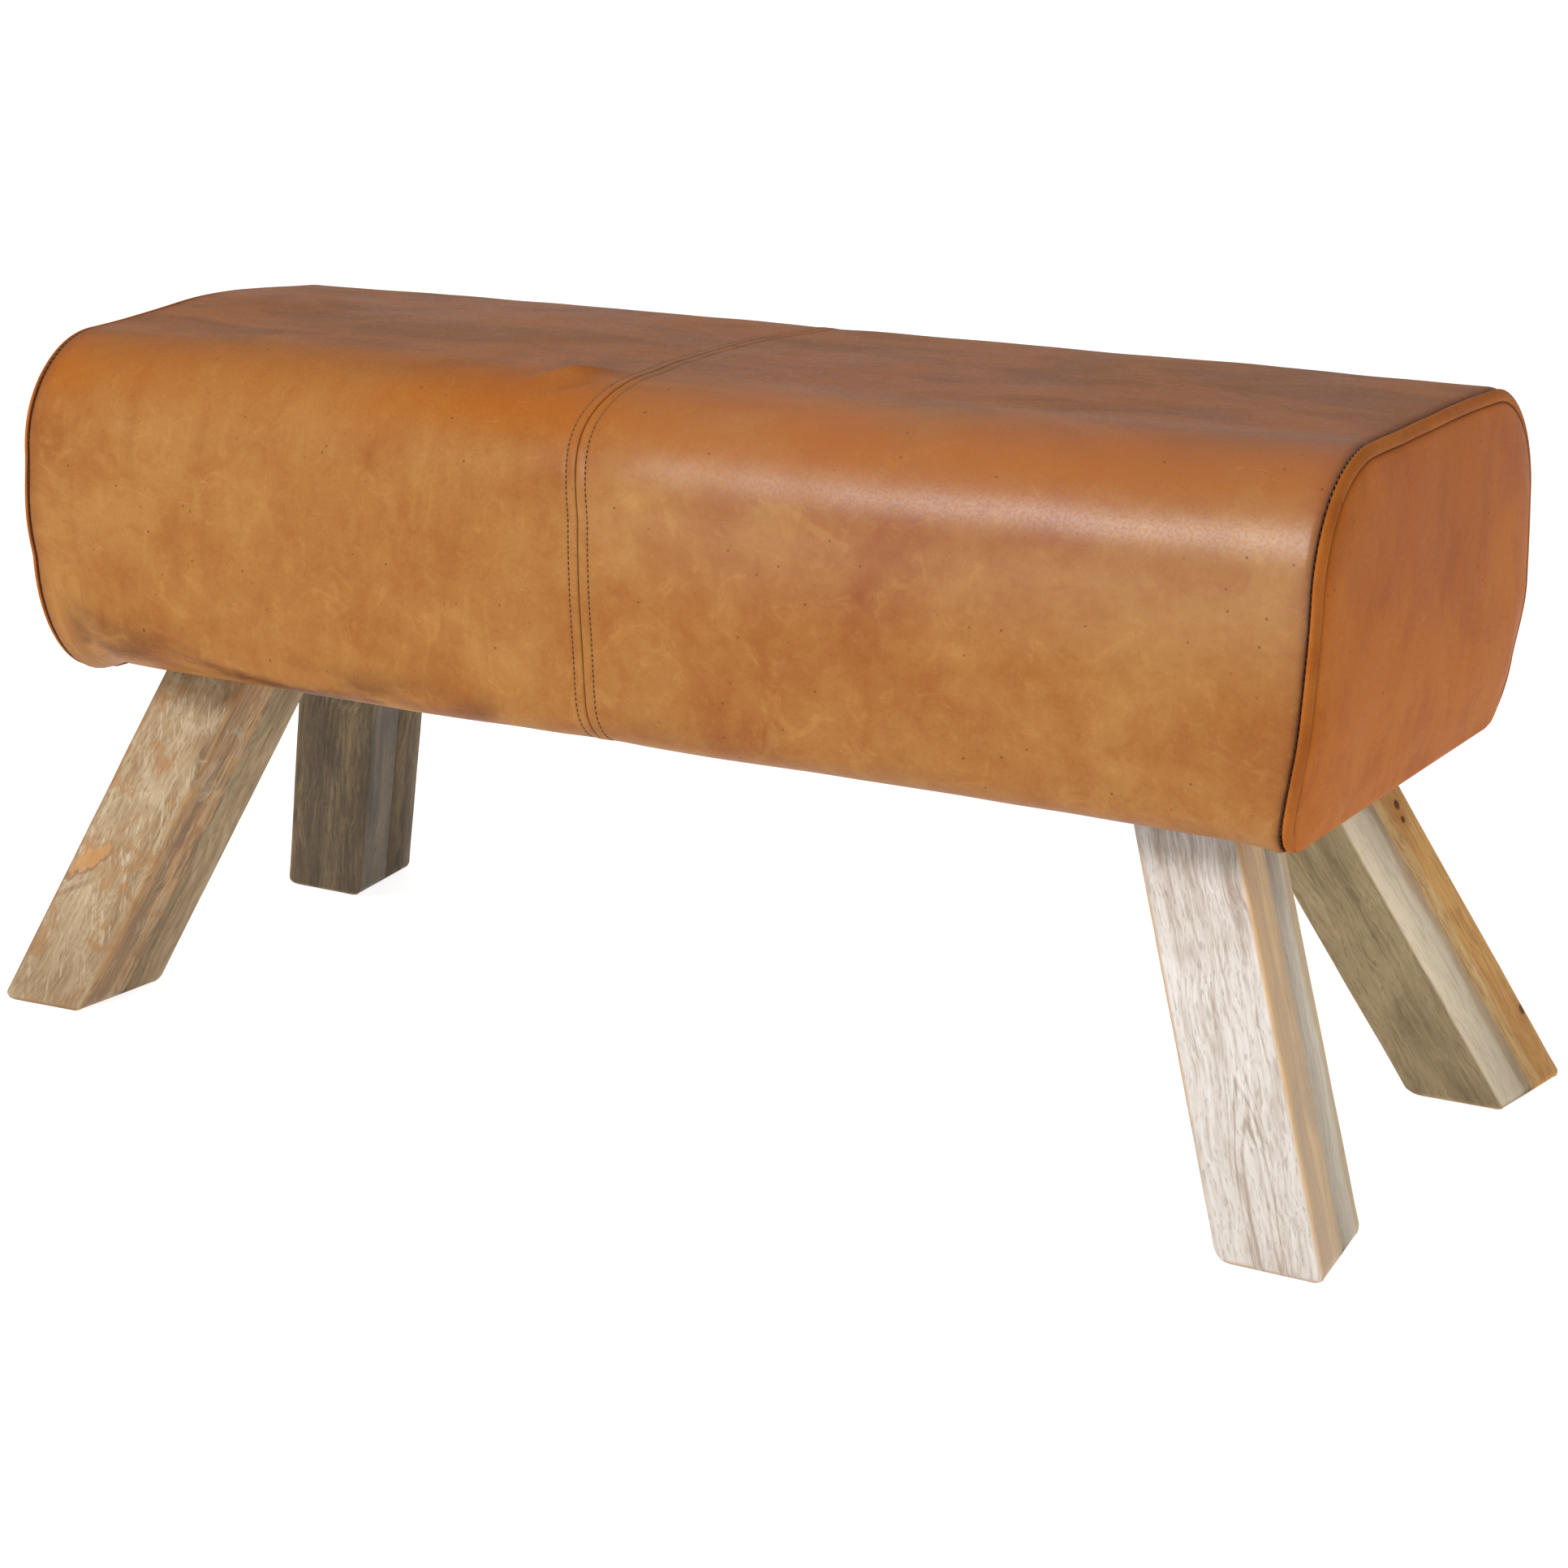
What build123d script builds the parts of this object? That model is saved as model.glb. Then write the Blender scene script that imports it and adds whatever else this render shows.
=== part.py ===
from build123d import *
import os

# Padded leather bench in the shape of a gymnasium pommel horse, without pommels.
# Millimetres, +Z up, floor at Z = 0, origin at the floor under the middle of the bench.
# X runs along the bench (right end at +X), the front is at -Y.

# Body, measured over the leather
BODY_BOTTOM = 262.0
BODY_TOP = 500.0
BODY_HALF_WIDTH = 196.0
TOP_CORNER_R = 82.0
BOTTOM_CORNER_R = 30.0
WRAP_HALF_LENGTH = 485.0
END_FACE_X = 494.2
LEATHER = 1.8

# How the leather is turned under the base and how its end seams are made
TUCK_INNER_Y = 124.0
END_FLAP_HALF_WIDTH = 118.0
END_FLAP_INNER_X = 430.0
WELT_WIDTH = 7.0
WELT_DEPTH = 5.0
SEAM_X = -15.0
SEAM_GAP = 0.4
TAPE_WIDTH = 32.0
TAPE_THICKNESS = 1.2

# Timber carcass
FRAME_HALF_LENGTH = 455.0
FRAME_HALF_WIDTH = 160.0
FRAME_TOP = 455.0
BASE_THICKNESS = 18.0
TOP_THICKNESS = 12.0
BOARD_THICKNESS = 15.0
RIB_X = 150.0
FRAME_BOTTOM = BODY_BOTTOM + LEATHER
BASE_TOP = FRAME_BOTTOM + BASE_THICKNESS
TOP_UNDERSIDE = FRAME_TOP - TOP_THICKNESS

# Legs: each is two boards glued face to face, splayed outwards both ways
LEG_WIDTH = 66.0
LEG_DEPTH = 80.0
FOOT_X = 490.0
FOOT_Y = 168.6
SPLAY_X = 0.424
SPLAY_Y = 0.380
LEG_TWIST = 2.5
LEG_EDGE_R = 3.0
FOOT_EDGE_R = 7.0

# Blocks and coach screws that hold the legs to the base
BLOCK_LENGTH = 120.0
BLOCK_WIDTH = 124.0
BLOCK_HEIGHT = 30.0
COACH_R = 4.0
COACH_BITE = 50.0
COACH_HEAD_R = 7.5
COACH_HEAD = 5.5
COACH_SPREAD = 18.0
WASHER_R = 12.0
WASHER_THICKNESS = 2.0
HOLE_CLEARANCE = 0.1

# Countersunk frame screws
SCREW_R = 2.0
SCREW_HEAD_R = 4.0
SCREW_LENGTH = 45.0

# Dust cover and staples
DUST_THICKNESS = 0.8
DUST_HALF_LENGTH = 468.0
DUST_HALF_WIDTH = 163.0
DUST_LEG_GAP = 3.0
STAPLE_CROWN = 11.0
STAPLE_LEG = 7.0
STAPLE_WIRE = 0.9
LEATHER_STAPLE_PITCH = 30.0
DUST_STAPLE_PITCH = 45.0

LEFT_RIGHT = (("left", -1), ("right", 1))
FRONT_BACK = (("front", -1), ("back", 1))


def place(solid, x, y, z):
    return Pos(x, y, z) * solid


def block(x0, x1, y0, y1, z0, z1):
    """A box between two corners."""
    size = Box(abs(x1 - x0), abs(y1 - y0), abs(z1 - z0))
    return place(size, (x0 + x1) / 2, (y0 + y1) / 2, (z0 + z1) / 2)


def rod(x, y, z_low, z_high, radius):
    """An upright cylinder between two heights."""
    return place(Cylinder(radius, z_high - z_low), x, y, (z_low + z_high) / 2)


def body_bar(inset, x0, x1):
    """A bar with the body's cross section, inset evenly all round, from x0 to x1."""
    width = 2 * (BODY_HALF_WIDTH - inset)
    height = BODY_TOP - BODY_BOTTOM - 2 * inset
    section = Rectangle(width, height)
    section = fillet(section.vertices().group_by(Axis.Y)[-1], TOP_CORNER_R - inset)
    section = fillet(section.vertices().sort_by(Axis.Y)[:2], BOTTOM_CORNER_R - inset)
    bar = extrude(Plane.YZ * section, x1 - x0)
    return place(bar, x0, 0, (BODY_TOP + BODY_BOTTOM) / 2)


def wrap_strip(outer_inset, thickness, x0, x1, under_y):
    """A strip that wraps the body from under one side, over the top, to under the other side."""
    ring = body_bar(outer_inset, x0, x1) - body_bar(outer_inset + thickness, x0 - 1, x1 + 1)
    depth = outer_inset + thickness + 1
    return ring - block(x0 - 1, x1 + 1, -under_y, under_y, BODY_BOTTOM - 1, BODY_BOTTOM + depth)


def leg_axis(sx, sy, z):
    """The point of a leg's centre line at height z."""
    return Vector(sx * (FOOT_X - SPLAY_X * z), sy * (FOOT_Y - SPLAY_Y * z), z)


def leg_blank(sx, sy, depth_low, depth_high, grow=0.0):
    """A leg's square-edged blank: the stretch of its depth from depth_low to depth_high."""
    up = (leg_axis(sx, sy, 1) - leg_axis(sx, sy, 0)).normalized()
    across = (Vector(1, 0, 0) - up * up.X).normalized()
    across = across.rotate(Axis((0, 0, 0), tuple(up)), sx * sy * LEG_TWIST)
    foot = leg_axis(sx, sy, 0)
    plane = Plane(origin=tuple(foot), x_dir=tuple(across), z_dir=tuple(up))
    middle = (depth_low + depth_high) / 2
    size = Box(LEG_WIDTH + 2 * grow, depth_high - depth_low + 2 * grow, 800)
    return plane * place(size, 0, sy * middle, 0)


def leg(sx, sy):
    """A whole leg, cut flat at the floor and at the base board, with its edges eased."""
    blank = leg_blank(sx, sy, -LEG_DEPTH / 2, LEG_DEPTH / 2)
    solid = blank & block(-800, 800, -500, 500, 0, FRAME_BOTTOM)
    sole = solid.faces().sort_by(Axis.Z)[0]
    solid = fillet(sole.edges(), FOOT_EDGE_R)
    long_edges = [edge for edge in solid.edges() if edge.length > FRAME_BOTTOM - 2 * FOOT_EDGE_R]
    return fillet(long_edges, LEG_EDGE_R)


def coach_places(sx, sy):
    """Where a leg's two coach screws stand, one in each of its boards."""
    middle = leg_axis(sx, sy, FRAME_BOTTOM - COACH_BITE / 2)
    return [(middle.X, middle.Y - COACH_SPREAD), (middle.X, middle.Y + COACH_SPREAD)]


def all_coach_places():
    return [p for _, sx in LEFT_RIGHT for _, sy in FRONT_BACK for p in coach_places(sx, sy)]


def coach_holes():
    """The holes for every coach screw, from inside the leg to above the block."""
    low = FRAME_BOTTOM - COACH_BITE - 1
    high = BASE_TOP + BLOCK_HEIGHT + 1
    return [rod(x, y, low, high, COACH_R + HOLE_CLEARANCE) for x, y in all_coach_places()]


def coach_screw(x, y):
    """A hexagon-headed coach screw, seen as its shank and head."""
    seat = BASE_TOP + BLOCK_HEIGHT + WASHER_THICKNESS
    shank = rod(x, y, FRAME_BOTTOM - COACH_BITE + 6, seat, COACH_R)
    tip = place(Cone(0.8, COACH_R, 6), x, y, FRAME_BOTTOM - COACH_BITE + 3)
    head = place(extrude(RegularPolygon(COACH_HEAD_R, 6), COACH_HEAD), x, y, seat)
    return shank + tip + head


def washer(x, y):
    seat = BASE_TOP + BLOCK_HEIGHT
    disc = rod(x, y, seat, seat + WASHER_THICKNESS, WASHER_R)
    return disc - rod(x, y, seat - 1, seat + WASHER_THICKNESS + 1, COACH_R + HOLE_CLEARANCE)


def screw_along(grow):
    """A countersunk screw whose head is flush at the origin and whose shank runs down -Z."""
    radius = SCREW_R + grow
    head = SCREW_HEAD_R + grow
    cone = place(Cone(radius, head, head - radius), 0, 0, -(head - radius) / 2)
    shank = place(Cylinder(radius, SCREW_LENGTH + grow), 0, 0, -(SCREW_LENGTH + grow) / 2)
    return cone + shank


def frame_screws(grow=0.0):
    """The carcass screws: down through the top, up through the base, in through the ends."""
    screw = screw_along(grow)
    side_y = FRAME_HALF_WIDTH - BOARD_THICKNESS / 2
    placed = []
    for x in (-420, -210, 0, 210, 420):
        for y in (-side_y, side_y):
            placed.append(Pos(x, y, FRAME_TOP) * screw)
            placed.append(Pos(x, y, FRAME_BOTTOM) * Rot(180, 0, 0) * screw)
    for side in (-1, 1):
        for y in (-side_y, side_y):
            for z in (330, 400):
                placed.append(Pos(side * FRAME_HALF_LENGTH, y, z) * Rot(0, side * 90, 0) * screw)
    return placed


def staple(x, y, z, turned):
    """A wire staple driven upwards, its crown lying against the surface at height z."""
    w = STAPLE_WIRE
    half = STAPLE_CROWN / 2
    crown = block(-half, half, -w / 2, w / 2, -w, 0)
    legs = [block(s * half - w / 2 - s * w / 2, s * half + w / 2 - s * w / 2, -w / 2, w / 2, -w, STAPLE_LEG)
            for s in (-1, 1)]
    return Pos(x, y, z) * Rot(0, 0, turned) * (crown + legs[0] + legs[1])


def row_places(half_length, pitch):
    """Even places along a line centred on zero."""
    count = int(2 * half_length // pitch)
    return [(i - count / 2) * pitch for i in range(count + 1)]


def leather_staples():
    """Staples sunk in the turned-under leather, hidden by the dust cover."""
    placed = []
    z = BODY_BOTTOM + STAPLE_WIRE
    for _, sy in FRONT_BACK:
        for x in row_places(FRAME_HALF_LENGTH - 20, LEATHER_STAPLE_PITCH):
            placed.append(staple(x, sy * (TUCK_INNER_Y + 12), z, 0))
    for _, sx in LEFT_RIGHT:
        for y in row_places(END_FLAP_HALF_WIDTH - 15, LEATHER_STAPLE_PITCH):
            placed.append(staple(sx * (FRAME_HALF_LENGTH - 18), y, z, 90))
    return placed


def dust_staples():
    """Staples that hold the hem of the dust cover."""
    placed = []
    z = BODY_BOTTOM - DUST_THICKNESS
    for _, sy in FRONT_BACK:
        for x in row_places(FRAME_HALF_LENGTH - 45, DUST_STAPLE_PITCH):
            placed.append(staple(x, sy * (FRAME_HALF_WIDTH - 9), z, 0))
    for _, sx in LEFT_RIGHT:
        for y in row_places(FRAME_HALF_WIDTH - 30, DUST_STAPLE_PITCH):
            placed.append(staple(sx * (FRAME_HALF_LENGTH - 8), y, z, 90))
    return placed


def cut_all(solid, cutters):
    for cutter in cutters:
        solid = solid - cutter
    return solid


def legs():
    """Eight leg boards: an outer and an inner one for each leg."""
    made = {}
    holes = coach_holes()
    for row, sy in FRONT_BACK:
        for end, sx in LEFT_RIGHT:
            whole = cut_all(leg(sx, sy), holes)
            made[f"leg_{row}_{end}_outer"] = whole & leg_blank(sx, sy, 0, LEG_DEPTH)
            made[f"leg_{row}_{end}_inner"] = whole & leg_blank(sx, sy, -LEG_DEPTH, 0)
    return made


def carcass():
    """The plywood box: base, top, sides, ends, two ribs and the four leg blocks."""
    length = FRAME_HALF_LENGTH
    width = FRAME_HALF_WIDTH
    board = BOARD_THICKNESS
    made = {
        "base_board": block(-length, length, -width, width, FRAME_BOTTOM, BASE_TOP),
        "top_board": block(-length, length, -width, width, TOP_UNDERSIDE, FRAME_TOP),
    }
    for row, sy in FRONT_BACK:
        inner = length - board
        made[f"side_board_{row}"] = block(
            -inner, inner, sy * (width - board), sy * width, BASE_TOP, TOP_UNDERSIDE)
    for end, sx in LEFT_RIGHT:
        made[f"end_board_{end}"] = block(
            sx * (length - board), sx * length, -width, width, BASE_TOP, TOP_UNDERSIDE)
        made[f"rib_{end}"] = block(
            sx * RIB_X, sx * (RIB_X + board), board - width, width - board, BASE_TOP, TOP_UNDERSIDE)
    for row, sy in FRONT_BACK:
        for end, sx in LEFT_RIGHT:
            x1 = sx * (length - board)
            y1 = sy * (width - board)
            made[f"leg_block_{row}_{end}"] = block(
                x1 - sx * BLOCK_LENGTH, x1, y1 - sy * BLOCK_WIDTH, y1, BASE_TOP, BASE_TOP + BLOCK_HEIGHT)
    cutters = coach_holes() + frame_screws(HOLE_CLEARANCE)
    return {name: cut_all(solid, cutters) for name, solid in made.items()}


def padding():
    """Foam glued round the carcass: seat slab, two sides and two ends."""
    core = body_bar(LEATHER, -FRAME_HALF_LENGTH, FRAME_HALF_LENGTH)
    tape = seam_tape()
    span = FRAME_HALF_LENGTH + 1
    made = {"foam_top": (core & block(-span, span, -300, 300, FRAME_TOP, 600)) - tape}
    for row, sy in FRONT_BACK:
        side = core & block(-span, span, sy * FRAME_HALF_WIDTH, sy * 300, 0, FRAME_TOP)
        made[f"foam_{row}"] = side - tape
    for end, sx in LEFT_RIGHT:
        x0, x1 = sorted((sx * FRAME_HALF_LENGTH, sx * (END_FACE_X - LEATHER)))
        made[f"foam_end_{end}"] = body_bar(LEATHER, x0, x1) - welt_bar(sx)
    return made


def welt_bar(sx):
    """The welt strip that fills the corner between the wrap and an end panel."""
    x0, x1 = sorted((sx * (WRAP_HALF_LENGTH + SEAM_GAP), sx * (WRAP_HALF_LENGTH + SEAM_GAP + WELT_WIDTH)))
    return wrap_strip(0.5, WELT_DEPTH, x0, x1, BODY_HALF_WIDTH - BOTTOM_CORNER_R)


def seam_tape():
    """The tape stitched behind the centre seam."""
    x0 = SEAM_X - TAPE_WIDTH / 2
    return wrap_strip(LEATHER, TAPE_THICKNESS, x0, x0 + TAPE_WIDTH, FRAME_HALF_WIDTH)


def end_panel(sx):
    """An end's leather: the panel and the flap turned under the base."""
    x0, x1 = sorted((sx * (END_FACE_X - LEATHER), sx * END_FACE_X))
    panel = body_bar(1.0, x0, x1)
    f0, f1 = sorted((sx * END_FLAP_INNER_X, sx * END_FACE_X))
    flap = block(f0, f1, -END_FLAP_HALF_WIDTH, END_FLAP_HALF_WIDTH, BODY_BOTTOM, FRAME_BOTTOM)
    return panel + flap


def leather():
    """The wrap in two halves, the welts, the end panels and the tape behind the seam."""
    gap = SEAM_GAP / 2
    made = {
        "cover_left": wrap_strip(0, LEATHER, -WRAP_HALF_LENGTH, SEAM_X - gap, TUCK_INNER_Y),
        "cover_right": wrap_strip(0, LEATHER, SEAM_X + gap, WRAP_HALF_LENGTH, TUCK_INNER_Y),
        "seam_tape": seam_tape(),
    }
    for end, sx in LEFT_RIGHT:
        made[f"end_panel_{end}"] = end_panel(sx)
        made[f"welt_{end}"] = welt_bar(sx)
    return made


def dust_cover():
    """The black cloth under the base, cut out round the four legs."""
    low = BODY_BOTTOM - DUST_THICKNESS
    sheet = block(-DUST_HALF_LENGTH, DUST_HALF_LENGTH, -DUST_HALF_WIDTH, DUST_HALF_WIDTH, low, BODY_BOTTOM)
    for _, sx in LEFT_RIGHT:
        for _, sy in FRONT_BACK:
            sheet = sheet - leg_blank(sx, sy, -LEG_DEPTH / 2, LEG_DEPTH / 2, DUST_LEG_GAP)
    return sheet


def fasteners():
    places = all_coach_places()
    return {
        "coach_screws": Compound(children=[coach_screw(x, y) for x, y in places]),
        "coach_washers": Compound(children=[washer(x, y) for x, y in places]),
        "frame_screws": Compound(children=frame_screws()),
        "leather_staples": Compound(children=leather_staples()),
        "dust_cover_staples": Compound(children=dust_staples()),
    }


def main():
    os.makedirs("parts", exist_ok=True)
    nodes = {}
    nodes.update(legs())
    nodes.update(carcass())
    nodes.update(padding())
    nodes.update(leather())
    nodes["dust_cover"] = dust_cover()
    nodes.update(fasteners())
    for name, solid in nodes.items():
        export_step(solid, f"parts/{name}.step")
    print(len(nodes), "nodes")


main()
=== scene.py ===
# %% [markdown]
# # A padded leather gymnasium bench
# The bench is a padded beam on four splayed legs. A plywood box inside carries the
# legs, foam is glued round the box, and two hides are sewn together and drawn over it.
# The hard inner parts come from the CAD model as they are. The leather, the foam and
# the leg boards are modelled here, because their softness and wear are what we see.

import bisect
import math

import bmesh
import bpy
from mathutils import Matrix, Vector, noise


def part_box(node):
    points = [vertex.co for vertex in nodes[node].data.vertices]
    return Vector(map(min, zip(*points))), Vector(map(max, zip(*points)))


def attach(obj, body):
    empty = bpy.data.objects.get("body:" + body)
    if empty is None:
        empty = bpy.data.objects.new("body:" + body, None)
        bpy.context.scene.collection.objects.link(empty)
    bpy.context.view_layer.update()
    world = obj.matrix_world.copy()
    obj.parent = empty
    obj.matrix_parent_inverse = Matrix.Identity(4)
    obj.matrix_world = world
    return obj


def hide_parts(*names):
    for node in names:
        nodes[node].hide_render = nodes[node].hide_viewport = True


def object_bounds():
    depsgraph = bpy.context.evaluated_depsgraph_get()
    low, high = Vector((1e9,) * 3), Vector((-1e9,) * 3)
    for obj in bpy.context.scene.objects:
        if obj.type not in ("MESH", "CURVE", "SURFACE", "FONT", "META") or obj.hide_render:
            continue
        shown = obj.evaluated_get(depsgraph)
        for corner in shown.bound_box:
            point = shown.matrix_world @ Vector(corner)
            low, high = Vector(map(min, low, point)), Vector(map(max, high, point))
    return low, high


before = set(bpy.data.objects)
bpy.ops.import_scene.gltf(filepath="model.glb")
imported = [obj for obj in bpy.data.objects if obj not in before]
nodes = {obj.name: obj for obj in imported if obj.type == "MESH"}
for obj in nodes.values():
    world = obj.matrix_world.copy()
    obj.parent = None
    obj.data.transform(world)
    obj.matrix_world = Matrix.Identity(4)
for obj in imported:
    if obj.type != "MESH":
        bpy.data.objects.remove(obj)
cad_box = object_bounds()
print("CAD nodes:", len(nodes), "box:", [tuple(round(v, 3) for v in c) for c in cad_box])

# %% [markdown]
# ## Camera
# The bench is seen from its right front corner, a little above the seat, through a
# long lens that keeps its edges nearly parallel.

# %% Camera
scene = bpy.context.scene
camera_data = bpy.data.cameras.new("camera")
camera_data.lens = 83.5
camera_data.sensor_width = 36
camera = bpy.data.objects.new("camera", camera_data)
camera.location = (1.2784, -2.1291, 0.8902)
camera.rotation_euler = (math.pi / 2 - 0.2745, 0, 0.5322)
scene.collection.objects.link(camera)
scene.camera = camera
print("camera distance:", round(camera.location.length, 2), "m")

# %% [markdown]
# ## Shader sums as Python
# A material is a net of nodes. Wrapping a socket in a small class lets us write its
# sums as ordinary expressions, which read better than long lists of links.

# %% A socket that can be used in sums
class Value:
    """A number or colour that flows between shader nodes."""

    def __init__(self, finish, socket):
        self.finish = finish
        self.socket = socket

    def sum_with(self, operation, *others):
        return self.finish.node("ShaderNodeMath", {"operation": operation},
                                dict(enumerate((self, *others))))

    def reflected(self, operation, first):
        return self.finish.node("ShaderNodeMath", {"operation": operation}, {0: first, 1: self})

    def __add__(self, other):
        return self.sum_with("ADD", other)

    def __sub__(self, other):
        return self.sum_with("SUBTRACT", other)

    def __mul__(self, other):
        return self.sum_with("MULTIPLY", other)

    def __truediv__(self, other):
        return self.sum_with("DIVIDE", other)

    def __pow__(self, other):
        return self.sum_with("POWER", other)

    def __neg__(self):
        return self * -1

    def __rsub__(self, other):
        return self.reflected("SUBTRACT", other)

    def __rtruediv__(self, other):
        return self.reflected("DIVIDE", other)

    def __abs__(self):
        return self.sum_with("ABSOLUTE")

    __radd__ = __add__
    __rmul__ = __mul__

    def span(self, low, high, to_low=0, to_high=1):
        """This value's run from low to high, eased, as a run from to_low to to_high."""
        return self.finish.node("ShaderNodeMapRange", {"interpolation_type": "SMOOTHSTEP"},
                                dict(enumerate((self, low, high, to_low, to_high))))

    def tinted(self, share, red, green, blue):
        """This colour with a share of a display colour laid over it."""
        return self.finish.mix(share, self, tint(red, green, blue))


def tint(red, green, blue):
    """A display colour, 0 to 255, as the linear colour that a shader takes."""
    def linear(level):
        level /= 255
        return level / 12.92 if level <= 0.04045 else ((level + 0.055) / 1.055) ** 2.4
    return (linear(red), linear(green), linear(blue), 1)


print("display grey 128 is", round(tint(128, 128, 128)[0], 3), "as a linear value")


# %% A finish is a material with short names for its nodes
class Finish:
    def __init__(self, name):
        self.material = bpy.data.materials.new(name)
        self.material.use_nodes = True
        self.tree = self.material.node_tree
        self.shader = self.tree.nodes["Principled BSDF"]

    def plug(self, socket, value):
        if isinstance(value, Value):
            self.tree.links.new(value.socket, socket)
        else:
            socket.default_value = value

    def node(self, kind, settings=None, sockets=None, out=0):
        """Adds a node: its settings first, then the values or links of its sockets."""
        made = self.tree.nodes.new(kind)
        for key, value in (settings or {}).items():
            if key == "stops":
                while len(made.color_ramp.elements) < len(value):
                    made.color_ramp.elements.new(0.5)
                for stop, (place, colour) in zip(made.color_ramp.elements, value):
                    stop.position, stop.color = place, colour
            else:
                setattr(made, key, value)
        for key, value in (sockets or {}).items():
            self.plug(made.inputs[key], value)
        return Value(self, made.outputs[out])

    def place(self):
        return self.node("ShaderNodeTexCoord", out="Object")

    def flat(self, name):
        return self.node("ShaderNodeUVMap", {"uv_map": name})

    def painted(self, name):
        return self.node("ShaderNodeAttribute", {"attribute_name": name}, out="Fac")

    def axes(self, vector):
        made = self.tree.nodes.new("ShaderNodeSeparateXYZ")
        self.plug(made.inputs[0], vector)
        return [Value(self, made.outputs[i]) for i in range(3)]

    def join(self, x, y, z):
        return self.node("ShaderNodeCombineXYZ", None, {0: x, 1: y, 2: z})

    def moved(self, vector, x, y, z):
        return self.node("ShaderNodeVectorMath", {"operation": "ADD"}, {0: vector, 1: (x, y, z)})

    def dot(self, vector, axis):
        return self.node("ShaderNodeVectorMath", {"operation": "DOT_PRODUCT"},
                         {0: vector, 1: tuple(axis)}, out="Value")

    def noise(self, vector, scale, detail=3, roughness=0.5, distortion=0):
        """Cloudy noise. A scale of three numbers draws it out along an axis."""
        if isinstance(scale, tuple):
            vector = self.node("ShaderNodeVectorMath", {"operation": "MULTIPLY"}, {0: vector, 1: scale})
            scale = 1
        return self.node("ShaderNodeTexNoise", None, {
            "Vector": vector, "Scale": scale, "Detail": detail,
            "Roughness": roughness, "Distortion": distortion})

    def cells(self, vector, scale):
        return self.node("ShaderNodeTexVoronoi", None, {"Vector": vector, "Scale": scale}, out="Distance")

    def mix(self, share, first, second):
        return self.node("ShaderNodeMix", {"data_type": "RGBA"}, {0: share, 6: first, 7: second}, out=2)

    def ramp(self, value, stops):
        return self.node("ShaderNodeValToRGB", {"stops": stops}, {0: value})

    def bump(self, height, strength, distance):
        return self.node("ShaderNodeBump", None,
                         {"Strength": strength, "Distance": distance, "Height": height})

    def done(self, colour, roughness, normal=None, **constants):
        self.plug(self.shader.inputs["Base Color"], colour)
        self.plug(self.shader.inputs["Roughness"], roughness)
        if normal is not None:
            self.plug(self.shader.inputs["Normal"], normal)
        for key, value in constants.items():
            self.shader.inputs[key.replace("_", " ")].default_value = value
        return self.material


print("finish helpers ready")

# %% [markdown]
# ## Studio
# A pale floor runs to the horizon, and one large softbox stands at the left front.
# It is low enough to light the long front face more than the seat, and it leaves a soft
# band of sheen along the right half of the front shoulder.

# %% Floor, softbox and fill
def object_from(bm, name, finish):
    """Makes a bmesh into an object of the scene, with one finish."""
    mesh = bpy.data.meshes.new(name)
    bm.to_mesh(mesh)
    bm.free()
    mesh.materials.append(finish)
    made = bpy.data.objects.new(name, mesh)
    scene.collection.objects.link(made)
    return made


def add_floor():
    paper = Finish("studio_paper").done(
        (0.5, 0.5, 0.5, 1), 0.9, Emission_Color=(1, 1, 1, 1), Emission_Strength=0.85)
    bm = bmesh.new()
    bmesh.ops.create_grid(bm, x_segments=1, y_segments=1, size=60)
    object_from(bm, "studio_floor", paper)


def add_softbox(place, aim, width, height, power):
    light = bpy.data.lights.new("key_softbox", "AREA")
    light.shape = "RECTANGLE"
    light.size, light.size_y, light.energy = width, height, power
    lamp = bpy.data.objects.new("key_softbox", light)
    lamp.location = place
    lamp.rotation_euler = (aim - place).to_track_quat("-Z", "Y").to_euler()
    scene.collection.objects.link(lamp)


add_floor()
add_softbox(Vector((-0.5, -2.3, 1.85)), Vector((0, 0, 0.35)), width=1.6, height=0.7, power=42)
world = bpy.data.worlds.new("studio")
world.use_nodes = True
fill = world.node_tree.nodes["Background"].inputs
fill["Color"].default_value = (1, 1, 1, 1)
fill["Strength"].default_value = 0.6
scene.world = world
scene.view_settings.view_transform = "Standard"
print("studio ready")

# %% [markdown]
# ## The body's outline
# A hide is a flat sheet, so it is easiest to describe by two flat measures: x, along the
# bench, and girth, round it from the middle of the seat (towards the front is positive).
# The cross section changes along the bench: at the left the stuffing sags into a
# rounded lower corner, at the right the front face leans and ends in a crisp corner.

# %% Sizes of the cross section
SEAT_TOP = cad_box[1].z
BASE_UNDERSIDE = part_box("base_board")[0].z
FRAME_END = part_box("base_board")[1].x
FRAME_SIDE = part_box("base_board")[1].y
FRAME_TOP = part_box("top_board")[1].z
HIDE = 0.0018
TUCK_HEIGHT = BASE_UNDERSIDE - HIDE + 0.0003
TUCK_LINE = 0.124
FLAT_TOP = 0.114
SHOULDER_TURN = 0.1288
SIDE_DROP = 0.126
CORNER_TURN = 0.0471
TUCK = 0.042
BODY_HEART = 0.378
GIRTH_STEPS = (FLAT_TOP, SHOULDER_TURN, SIDE_DROP, CORNER_TURN, TUCK)
HALF_GIRTH = sum(GIRTH_STEPS)

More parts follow.
